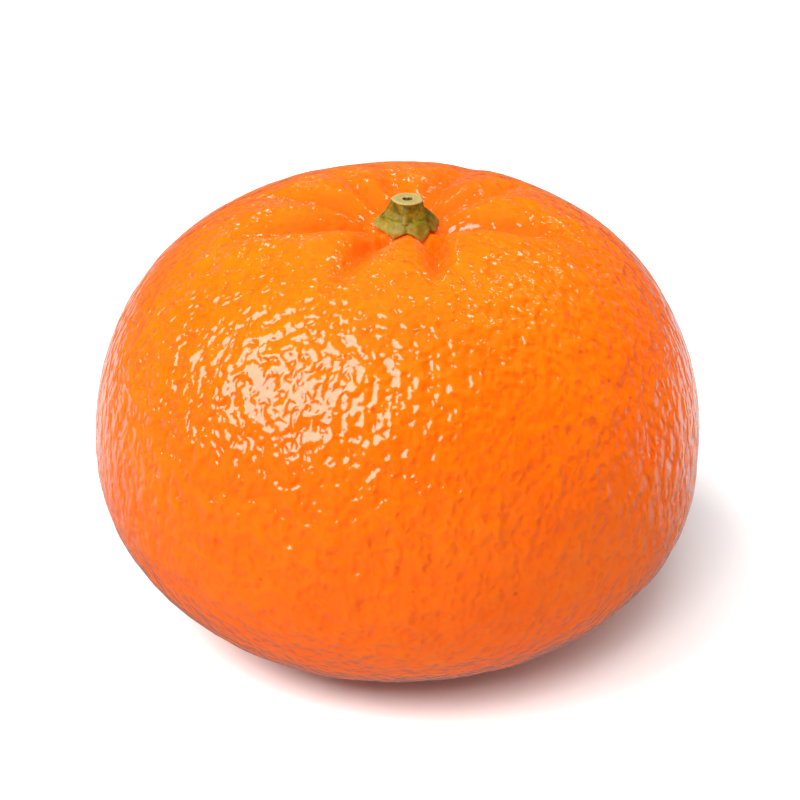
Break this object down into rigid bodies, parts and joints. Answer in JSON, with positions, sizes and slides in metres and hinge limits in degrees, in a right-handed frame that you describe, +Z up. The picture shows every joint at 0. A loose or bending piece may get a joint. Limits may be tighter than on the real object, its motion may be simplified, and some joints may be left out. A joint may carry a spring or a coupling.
{
  "type": "mandarin",
  "caption": "Whole mandarin, picked: a flattened round fruit with creases round its sunken stem end, a lobed green calyx and a cut stem stub, standing on a flat spot.",
  "frame": {"origin": "bottom centre of the bounding box, on the surface that the fruit stands on, under the middle of the fruit", "axes": "+Z up through the stem end; the deep crease and the narrow front ridge of the crown face -Y"},
  "size_m": [0.066, 0.066, 0.0513],
  "materials": {
    "peel": "waxy, glossy, finely dimpled",
    "calyx": "matt, tough and leathery",
    "stem": "green bark, matt, with a pale cut end"
  },
  "bodies": {
    "root": {"fruit": "peel", "calyx": "calyx", "stem_stub": "stem"}
  },
  "joints": []
}
